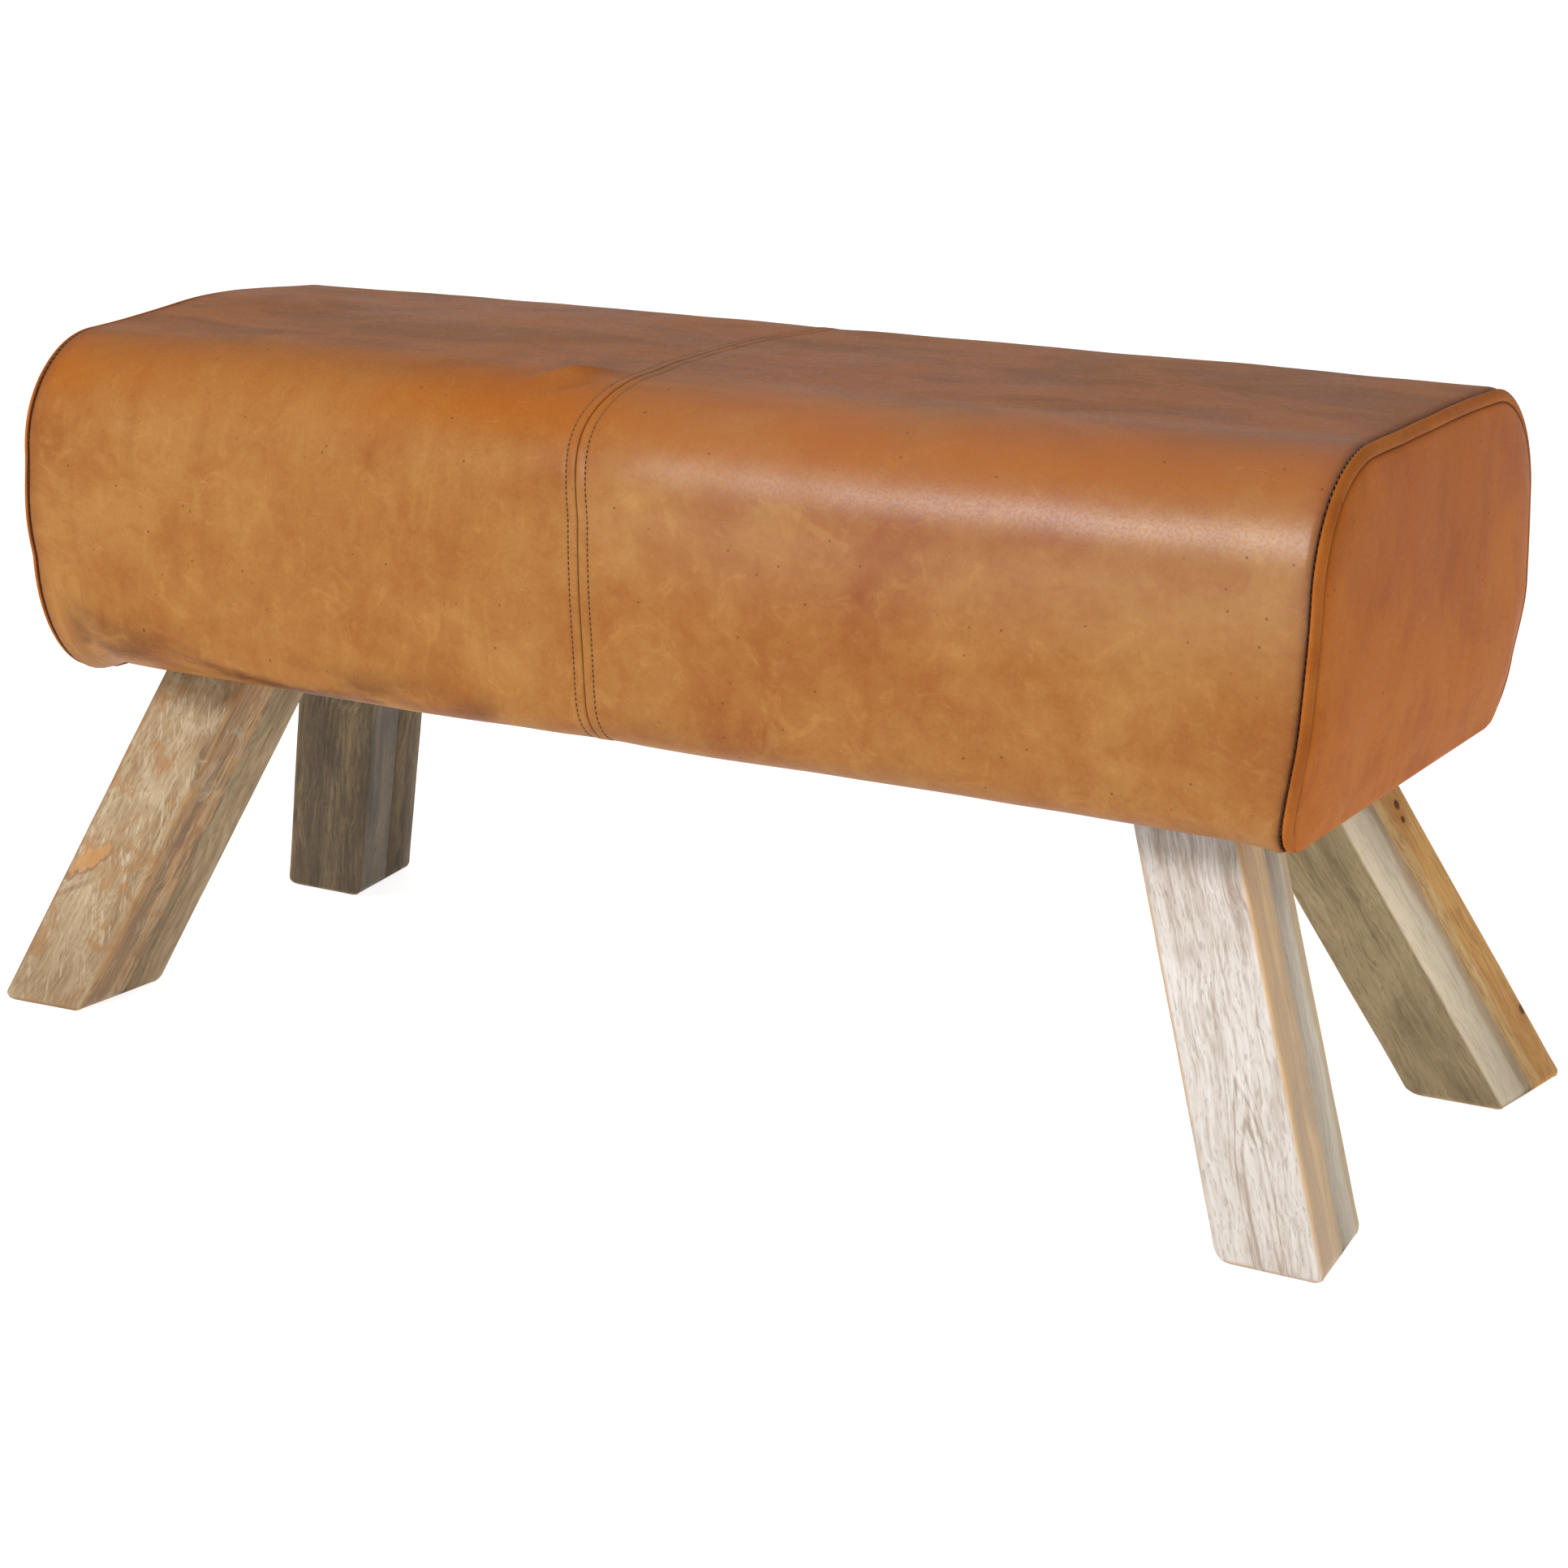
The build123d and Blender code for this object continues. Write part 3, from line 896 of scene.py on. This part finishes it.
# %% Foam finish and slabs
def foam_finish():
    f = Finish("foam")
    place = f.place()
    pores = f.cells(place, 700)
    cloud = f.noise(place, 22, 3)
    colour = f.mix(pores.span(0.1, 0.6), tint(196, 178, 120), tint(228, 214, 160))
    colour = colour.tinted(cloud.span(0.3, 0.7) * 0.3, 214, 190, 128)
    return f.done(colour, 0.95, f.bump(pores, 0.6, 0.0006), Specular_IOR_Level=0.2)


foam_paint = foam_finish()
FOAM_LIFT = -0.0034


def girth_at_height(x, height, front):
    """The girth at which the body's side comes down to a height."""
    low, high = FLAT_TOP, FLAT_TOP + SHOULDER_TURN + SIDE_DROP
    for _ in range(24):
        middle = (low + high) / 2
        if outline(x, middle if front else -middle)[1] > height:
            low = middle
        else:
            high = middle
    return low


def make_foam(name, girths, inner_point):
    """A slab from the hide's inside down to the plywood box."""
    bm = bmesh.new()
    bmesh.ops.create_grid(bm, x_segments=60, y_segments=36, size=0.5)
    for vert in bm.verts:
        x = vert.co.x * 2 * (FRAME_END - 0.0005)
        start, end = girths(x)
        vert.co = skin(x, start + (end - start) * (vert.co.y + 0.5), FOAM_LIFT)[0]
    grown = bmesh.ops.extrude_face_region(bm, geom=bm.faces[:])["geom"]
    for vert in (g for g in grown if isinstance(g, bmesh.types.BMVert)):
        vert.co = inner_point(vert.co)
    bmesh.ops.recalc_face_normals(bm, faces=bm.faces[:])
    piece = piece_from(bm, f"{name}_slab", foam_paint, [name])


def top_girths(x):
    return (-girth_at_height(x, FRAME_TOP + 0.006, False), girth_at_height(x, FRAME_TOP + 0.006, True))


def side_girths(front):
    sign = 1 if front else -1
    return lambda x: (sign * girth_at_height(x, FRAME_TOP - 0.001, front), sign * 0.392)


make_foam("foam_top", top_girths, lambda co: Vector((co.x, co.y, FRAME_TOP + 0.0003)))
for front, name in ((True, "foam_front"), (False, "foam_back")):
    wall = -FRAME_SIDE - 0.0003 if front else FRAME_SIDE + 0.0003
    make_foam(name, side_girths(front),
              lambda co: Vector((co.x, wall, max(BASE_UNDERSIDE, min(co.z, FRAME_TOP - 0.001)))))


def make_end_foam(name, side):
    bm = bmesh.new()
    bmesh.ops.create_cube(bm, size=1)
    bmesh.ops.subdivide_edges(bm, edges=bm.edges[:], cuts=23, use_grid_fill=True)
    inner_x = side * (FRAME_END + 0.0005)
    for vert in bm.verts:
        across, up = vert.co.x * 2, vert.co.y * 2
        girth = math.atan2(-across, up) / math.pi * (HALF_GIRTH - 0.05)
        edge = edge_x(side, girth)
        rim = skin(edge - side * 0.008, girth, FOAM_LIFT - 0.0065)[0]
        share = max(abs(across), abs(up))
        outer_x = edge + side * 0.0018 + side * 0.0055 * (1 - share ** 6)
        x = inner_x + (outer_x - inner_x) * (0.5 + vert.co.z * side)
        vert.co = Vector((x, rim.y * share, BODY_HEART + (rim.z - BODY_HEART) * share))
    bmesh.ops.recalc_face_normals(bm, faces=bm.faces[:])
    piece = piece_from(bm, f"{name}_slab", foam_paint, [name])


make_end_foam("foam_end_left", -1)
make_end_foam("foam_end_right", 1)

# %% [markdown]
# ## Dust cover
# A black non-woven cloth is stapled under the base and cut out round the legs. It is
# stretched flat, and only sags a hair between its staples.

# %% Leg places
# The CAD's four legs are alike. The real ones were cut and set by hand, so here each
# differs from them by a few millimetres. By the signs of its x and y, each leg has its
# (width, depth), foot (x, y), lean (x, y) per metre of height, and twist in degrees.
LEG_STANCES = {
    (-1, -1): ((0.0685, 0.0772), (0.4890, 0.1689), (0.399, 0.356), 3.3),
    (1, -1): ((0.0685, 0.0799), (0.4868, 0.1663), (0.433, 0.366), 0.7),
    (-1, 1): ((0.0688, 0.0784), (0.4924, 0.1684), (0.415, 0.405), 0.6),
    (1, 1): ((0.0656, 0.0796), (0.4916, 0.1721), (0.445, 0.398), 1.5),
}
LEGS = {("front", "left"): (-1, -1, "leg_tan_wood"), ("front", "right"): (1, -1, "leg_pale_wood"),
        ("back", "left"): (-1, 1, "leg_dark_wood"), ("back", "right"): (1, 1, "leg_grey_wood")}


def leg_matrix(sx, sy):
    """The leg's own frame: X across it, Y through its two boards, Z up along it."""
    _, foot, lean, twist = LEG_STANCES[sx, sy]
    up = Vector((-sx * lean[0], -sy * lean[1], 1)).normalized()
    across = (Vector((1, 0, 0)) - up * up.x).normalized()
    across = Matrix.Rotation(sx * sy * math.radians(twist), 3, up) @ across
    turn = Matrix((across, up.cross(across), up)).transposed().to_4x4()
    return Matrix.Translation((sx * foot[0], sy * foot[1], 0)) @ turn


print("legs:", ", ".join(" ".join(leg) for leg in LEGS))

# %% Dust cover
DUST_THICKNESS = 0.0008
DUST_SAG = 0.0012
CUT_CLEARANCE = 0.003
CUT_REACH = 0.075
dust_low, dust_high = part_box("dust_cover")
dust_size = (dust_high.x - dust_low.x, dust_high.y - dust_low.y)


def dust_finish():
    f = Finish("dust_cloth")
    place = f.place()
    fibres = f.noise(place, (300, 900, 1), 3, 0.7)
    dimples = f.cells(place, 420)
    colour = f.mix(fibres.span(0.35, 0.65), tint(18, 18, 20), tint(44, 43, 45))
    return f.done(colour, 0.92, f.bump(fibres + dimples, 0.5, 0.0004), Specular_IOR_Level=0.2)


def make_dust_cover():
    bm = bmesh.new()
    bmesh.ops.create_grid(bm, x_segments=72, y_segments=26, size=0.5)
    for vert in bm.verts:
        vert.co = Vector((vert.co.x * dust_size[0], vert.co.y * dust_size[1], dust_high.z))
    for sx, sy, _ in LEGS.values():
        matrix = leg_matrix(sx, sy)
        half_width, half_depth = (size / 2 + CUT_CLEARANCE for size in LEG_STANCES[sx, sy][0])
        middle = matrix @ Vector((0, 0, dust_high.z / matrix.col[2].z))
        for axis, half in ((0, half_width), (1, half_depth)):
            for way in (-1, 1):
                normal = matrix.col[axis].to_3d()
                near = [f for f in bm.faces if (f.calc_center_median() - middle).length < CUT_REACH]
                parts = set(near) | {e for f in near for e in f.edges} | {v for f in near for v in f.verts}
                bmesh.ops.bisect_plane(bm, geom=list(parts), dist=1e-6, plane_no=normal,
                                       plane_co=matrix.to_translation() + normal * way * half)
        inverse = matrix.inverted()
        inside = []
        for face in bm.faces:
            local = inverse @ face.calc_center_median()
            if abs(local.x) < half_width and abs(local.y) < half_depth:
                inside.append(face)
        bmesh.ops.delete(bm, geom=inside, context="FACES")
    for vert in bm.verts:
        across = max(0, 1 - (vert.co.y / 0.13) ** 2) * max(0, 1 - (vert.co.x / 0.42) ** 4)
        vert.co.z -= DUST_SAG * across
    area = sum(face.calc_area() for face in bm.faces)
    bm.normal_update()
    if sum(face.normal.z for face in bm.faces) > 0:
        bmesh.ops.reverse_faces(bm, faces=bm.faces[:])
    piece = piece_from(bm, "dust_cover_cloth", dust_finish(), ["dust_cover"])
    add_thickness(piece, DUST_THICKNESS, offset=1)
    print("dust cover:", [round(v, 3) for v in dust_size], "area", round(area, 4))


make_dust_cover()

# %% [markdown]
# ## Leg boards
# Each leg is two boards of mango wood glued face to face, so each shows its own colour
# and grain. A board starts as a cube, is cut flat at the floor and at the base, gets a
# few loops along its length so that its arrises can wander, and is then bevelled: wide
# at the worn sole, small along the arrises, and not at all along the glue line.

# %% Wood finish
LEG_EDGE = 0.0342


def wood(name, matrix, tones, edge=None, streak=1, seed=0, flecks=0,
         figure=None, knots=(), flake=None, flank=None, flank_to=0.020, flank_grain=0.6, pore=0.4):
    """Mango wood whose grain runs along the leg. Places are in the leg's own frame.

    tones run from light to dark, edge is the worn arrises, streak how banded the wood is,
    pore and flecks how strong its pores and pale curls are, and seed moves its grain.
    figure is a flame figure's centre, flake a torn spot: x, z, width, height, slope, colour.
    flank is the right-hand side's two colours, which meet flank_to from the glue line with
    flank_grain over them, and its knots are (y, z, radius)."""
    light, mid, dark = (tint(*tone) for tone in tones)
    f = Finish(name)
    foot = matrix.to_translation()
    off = f.moved(f.place(), -foot.x, -foot.y, -foot.z)
    x, y, z = (f.dot(off, matrix.col[i].to_3d()) for i in range(3))
    grain = f.join(x + seed, y + seed, z)
    sway = f.noise(grain, (9, 9, 8), 3, 0.5)
    height = f.dot(f.place(), (0, 0, 1))
    swept = f.join(x + seed + sway * 0.030, y + seed + sway * 0.030, z)
    bands = f.noise(swept, (60, 60, 3), 5, 0.65, 0.7)
    fibres = f.noise(swept, (480, 480, 22), 4, 0.75)
    patches = f.noise(grain, (26, 26, 11), 5, 0.6, 0.6)
    growth = ((x + y * 0.5 + sway * 0.055 + bands * 0.004) * 1250).sum_with("SINE")
    tone = bands * 0.50 * streak + fibres * 0.34 + patches * (0.66 - 0.50 * streak)
    tone = tone + growth * patches.span(0.42, 0.62, 0.002, 0.022)
    if figure:
        u = (x - figure[0] - (sway - 0.5) * 0.016) / 0.0085
        v = (z - figure[1]) / 0.050
        oval = abs(u) ** 1.6 + v.span(-0.4, 1) * 1.5 + bands * 0.5
        rings = (oval * 8 + sway * 4).sum_with("SINE")
        tone = tone - rings.span(0.2, 1) * oval.span(3.2, 1.4) * 0.085
    colour = f.ramp(tone, [(0.385, dark), (0.50, mid), (0.615, light)])
    pores = f.noise(swept, (700, 700, 90), 2, 0.5)
    dashes = pores.span(0.59, 0.67) * patches.span(0.34, 0.56, 0.35, 1)
    colour = f.mix(dashes * pore, colour, f.mix(0.30, dark, tint(92, 66, 44)))
    if flank:
        border = abs(y) + (sway - 0.5) * 0.030 + (bands - 0.5) * 0.012
        share = x.span(LEG_EDGE - 0.0045, LEG_EDGE - 0.0015)
        marked = f.mix(border.span(flank_to - 0.003, flank_to + 0.003), tint(*flank[0]), tint(*flank[1]))
        marked = f.mix((fibres * 0.6 + bands * 0.4).span(0.54, 0.42) * flank_grain, marked, dark)
        marked = f.mix(patches.span(0.50, 0.66) * flank_grain * 0.6, marked, dark)
        colour = f.mix(share * 0.94, colour, marked)
    if flecks:
        leaning = f.join(x + z * 0.45, y, z)
        curl = f.noise(leaning, (300, 300, 46), 4, 0.65, 0.5)
        where = f.noise(grain, (42, 42, 30), 3, 0.6)
        spots = curl.span(0.50, 0.66) * where.span(0.42, 0.60) * x.span(0.031, 0.027)
        colour = colour.tinted(spots * flecks, 216, 198, 170)
        warm = f.noise(f.moved(grain, 0, 0, 2), (40, 40, 34), 4, 0.6, 0.8)
        colour = colour.tinted(warm.span(0.50, 0.64) * 0.60, 158, 112, 68)
        colour = colour.tinted(warm.span(0.46, 0.34) * 0.35, 196, 178, 150)
    for ky, kz, radius in knots:
        u, v = (y - ky) / radius, (z - kz) / (radius * 1.25)
        spot = (u * u + v * v) ** 0.5 + sway * 0.8 - 0.4
        colour = colour.tinted(spot.span(4.2, 1) * 0.50, 170, 112, 50)
        colour = colour.tinted(spot.span(1.1, 0.6) * 0.92, 74, 36, 20)
    if flake:
        px, pz, wide, tall, slope, bark = flake
        u = (x - px) / wide
        v = (z - pz - (x - px) * slope) / tall
        ragged = f.noise(grain, (120, 120, 90), 3, 0.6)
        spot = u * u + v * v + (ragged - 0.5) * 3.4 + (patches - 0.5) * 2
        under = v.span(0.4, -1.2) * v.span(-4.5, -2) * abs(u).span(1.5, 0.6)
        contour = (v * 3.4 + sway * 5).sum_with("SINE").span(0.3, 0.95)
        colour = colour.tinted(under * contour * 0.30, 104, 70, 44)
        rim = spot.span(1.8, 1.2) * spot.span(0.7, 1.1) * v.span(0.2, -0.6, 0.15, 0.55)
        colour = colour.tinted(rim, 96, 64, 40)
        colour = f.mix(spot.span(1.45, 0.70) * fibres.span(0.3, 0.6, 0.95, 0.55), colour, tint(*bark))
    if edge:
        rub = (-x).span(LEG_EDGE - 0.0040, LEG_EDGE - 0.0015) + height.span(0.0050, 0.0010)
        colour = colour.tinted(rub * bands.span(0.35, 0.6) * 0.8, *edge)
    # Painted shade: each board darkens towards the floor over its lowest 13 cm.
    colour = f.mix(height.span(0.13, 0) * 0.30, colour, dark)
    colour = colour.tinted(height.span(0.0035, 0) * 0.4, 110, 78, 50)
    surface = fibres * 0.8 + bands * 0.5 - dashes * 0.9 + patches * 0.6
    rough = fibres.span(0.3, 0.7, 0.50, 0.66)
    return f.done(colour, rough, f.bump(surface, 0.5, 0.0006), Specular_IOR_Level=0.2)


print("wood finish ready")

# %% Colours of the eight boards
BOARD_LOOKS = {
    ("front", "right", "outer"): dict(
        tones=((232, 228, 222), (213, 205, 197), (170, 152, 137)),
        edge=(186, 150, 108), figure=(0.001, 0.072), seed=1.3, streak=0.8, pore=0.45,
        flank=((234, 196, 144), (214, 176, 128)), flank_grain=0.5),
    ("front", "right", "inner"): dict(
        tones=((238, 236, 230), (218, 210, 196), (176, 158, 134)),
        edge=(200, 172, 136), seed=4.1, flank=((222, 212, 194), (212, 186, 146)),
        flank_to=0.030, flank_grain=0.4),
    ("front", "left", "outer"): dict(
        tones=((186, 164, 132), (160, 135, 102), (122, 96, 68)),
        edge=(150, 104, 60), flecks=0.55, seed=2.7, streak=0.35,
        flake=(-0.020, 0.100, 0.0125, 0.0115, 1.1, (190, 137, 84)),
        flank=((204, 160, 108), (170, 132, 90)), flank_to=0.018, flank_grain=0.95),
    ("front", "left", "inner"): dict(
        tones=((186, 164, 132), (160, 136, 104), (120, 98, 72)), seed=5.9, streak=0.7),
    ("back", "left", "outer"): dict(
        tones=((134, 112, 80), (102, 85, 62), (62, 50, 37)), seed=7.7, pore=0.6),
    ("back", "left", "inner"): dict(
        tones=((134, 112, 80), (97, 80, 57), (58, 48, 35)),
        edge=(150, 112, 66), seed=8.3, pore=0.6),
    ("back", "right", "outer"): dict(
        tones=((222, 178, 116), (196, 142, 78), (158, 106, 52)), seed=3.5,
        streak=0.4, knots=((0.025, 0.221, 0.0036), (0.023, 0.210, 0.0024), (0.036, 0.035, 0.0034)),
        flank=((226, 190, 134), (210, 162, 98)), flank_to=0.012),
    ("back", "right", "inner"): dict(
        tones=((172, 152, 116), (150, 130, 96), (114, 96, 68)),
        edge=(190, 156, 112), seed=6.1, pore=0.45, streak=0.6,
        flank=((222, 190, 150), (246, 228, 198)), flank_to=0.008, flank_grain=0.22),
}
print("board looks:", len(BOARD_LOOKS))

# %% Boards
SOLE_ROUND = 0.0105
LONG_LOOPS = 12
BLANK_LENGTH, BLANK_MIDDLE = 0.44, 0.13
WANE, DEEP_WANE = 0.0005, 0.0022


def cut_board(matrix, width, depth, outer_way):
    """A board's blank, cut flat at the floor and at the base, with loops along its length."""
    bm = bmesh.new()
    bmesh.ops.create_cube(bm, size=1)
    bmesh.ops.scale(bm, verts=bm.verts[:], vec=(width, depth / 2, BLANK_LENGTH))
    bmesh.ops.translate(bm, verts=bm.verts[:], vec=(0, outer_way * depth / 4, BLANK_MIDDLE))
    bmesh.ops.transform(bm, matrix=matrix, verts=bm.verts[:])
    for height, way in ((0, -1), (BASE_UNDERSIDE, 1)):
        cut = bmesh.ops.bisect_plane(bm, geom=bm.verts[:] + bm.edges[:] + bm.faces[:],
                                     plane_co=(0, 0, height), plane_no=(0, 0, way), clear_outer=True)
        rim = [g for g in cut["geom_cut"] if isinstance(g, bmesh.types.BMEdge)]
        bmesh.ops.contextual_create(bm, geom=rim)
    long_edges = [e for e in bm.edges if abs(e.verts[0].co.z - e.verts[1].co.z) > 0.2]
    bmesh.ops.subdivide_edges(bm, edges=long_edges, cuts=LONG_LOOPS, use_grid_fill=True)
    return bm


def weigh_edges(bm, inverse):
    """Bevel weights: full at the sole's sides, half at its front and back, little at the arrises."""
    weight = bm.edges.layers.float.new("bevel_weight_edge")
    for edge in bm.edges:
        a, b = (inverse @ v.co for v in edge.verts)
        low = max(v.co.z for v in edge.verts) < 1e-5
        high = min(v.co.z for v in edge.verts) > BASE_UNDERSIDE - 1e-5
        glued = max(abs(a.y), abs(b.y)) < 1e-5
        if high or glued:
            edge[weight] = 0
        elif low:
            edge[weight] = 1 if abs(a.x - b.x) < 1e-4 else 0.50
        elif len(edge.link_faces) == 2 and edge.calc_face_angle() > 1:
            edge[weight] = 0.22


def make_board(row, end, part):
    name = f"leg_{row}_{end}_{part}"
    sx, sy, slot = LEGS[row, end]
    matrix = leg_matrix(sx, sy)
    inverse = matrix.inverted()
    bm = cut_board(matrix, *LEG_STANCES[sx, sy][0], sy if part == "outer" else -sy)
    weigh_edges(bm, inverse)
    wane = DEEP_WANE if (row, end, part) == ("front", "left", "outer") else WANE
    for vert in bm.verts:
        local = inverse @ vert.co
        if vert.co.z < 1e-5 or vert.co.z > BASE_UNDERSIDE - 1e-5 or abs(local.y) < 1e-5:
            continue
        amount = wane if local.x > 0 else WANE
        drift = noise.noise(Vector((local.x * 40, local.y * 40, local.z * 34 + sx * 3 + sy * 5)))
        nick = noise.noise(Vector((local.x * 11, sy, local.z * 110)))
        local.x -= math.copysign(amount * (0.5 + 0.5 * drift + 0.4 * nick), local.x)
        local.y -= math.copysign(0.4 * amount * (0.5 + 0.5 * drift), local.y)
        vert.co = matrix @ local
    bmesh.ops.recalc_face_normals(bm, faces=bm.faces[:])
    finish = wood(f"{name}_wood", matrix, **BOARD_LOOKS[row, end, part])
    piece = piece_from(bm, f"{name}_board", finish, [name])
    rounding = piece.modifiers.new("worn_edges", "BEVEL")
    rounding.limit_method = "WEIGHT"
    rounding.width = SOLE_ROUND
    rounding.segments = 4
    rounding.use_clamp_overlap = True
    piece.modifiers.new("even_shading", "WEIGHTED_NORMAL")


for row, end in LEGS:
    for part in ("outer", "inner"):
        make_board(row, end, part)

# %% [markdown]
# ## Inner woodwork and fixings
# The plywood box, its blocks, the screws and the staples keep their CAD shapes. They are
# hard and simple, so they only need finishes.

# %% Plywood, softwood and zinc
def plywood_finish():
    f = Finish("plywood")
    place = f.place()
    plies = (f.axes(place)[2] * 1000 * math.tau / 2.4).sum_with("SINE")
    grain = f.noise(place, (6, 90, 90), 5, 0.65, 0.4)
    colour = f.mix(grain.span(0.35, 0.65), tint(176, 136, 88), tint(216, 182, 132))
    colour = colour.tinted(plies.span(0.2, 0.9) * 0.12, 140, 98, 58)
    return f.done(colour, 0.7, f.bump(grain, 0.4, 0.0005), Specular_IOR_Level=0.3)


def softwood_finish():
    f = Finish("softwood")
    grain = f.noise(f.place(), (5, 70, 70), 4, 0.6, 0.8)
    colour = f.mix(grain.span(0.38, 0.62), tint(186, 140, 84), tint(226, 192, 140))
    return f.done(colour, 0.65, f.bump(grain, 0.4, 0.0005), Specular_IOR_Level=0.3)


def zinc_finish():
    f = Finish("zinc_steel")
    place = f.place()
    spangle = f.cells(place, 420)
    smear = f.noise(place, 160, 4, 0.6)
    colour = f.mix(spangle.span(0.1, 0.7), tint(150, 152, 156), tint(198, 200, 204))
    return f.done(colour, smear.span(0.3, 0.7, 0.28, 0.46), f.bump(smear, 0.2, 0.0002), Metallic=1)


def dress(finish, *starts):
    """Gives the CAD nodes whose names start so their finish."""
    for name, node in nodes.items():
        if name.startswith(starts):
            if not node.material_slots:
                node.data.materials.append(None)
            for slot in node.material_slots:
                slot.material = finish
            print(name, "<-", finish.name)


dress(plywood_finish(), "base_board", "top_board", "side_board", "end_board", "rib")
dress(softwood_finish(), "leg_block")
dress(zinc_finish(), "coach", "frame_screws", "leather_staples", "dust_cover_staples")
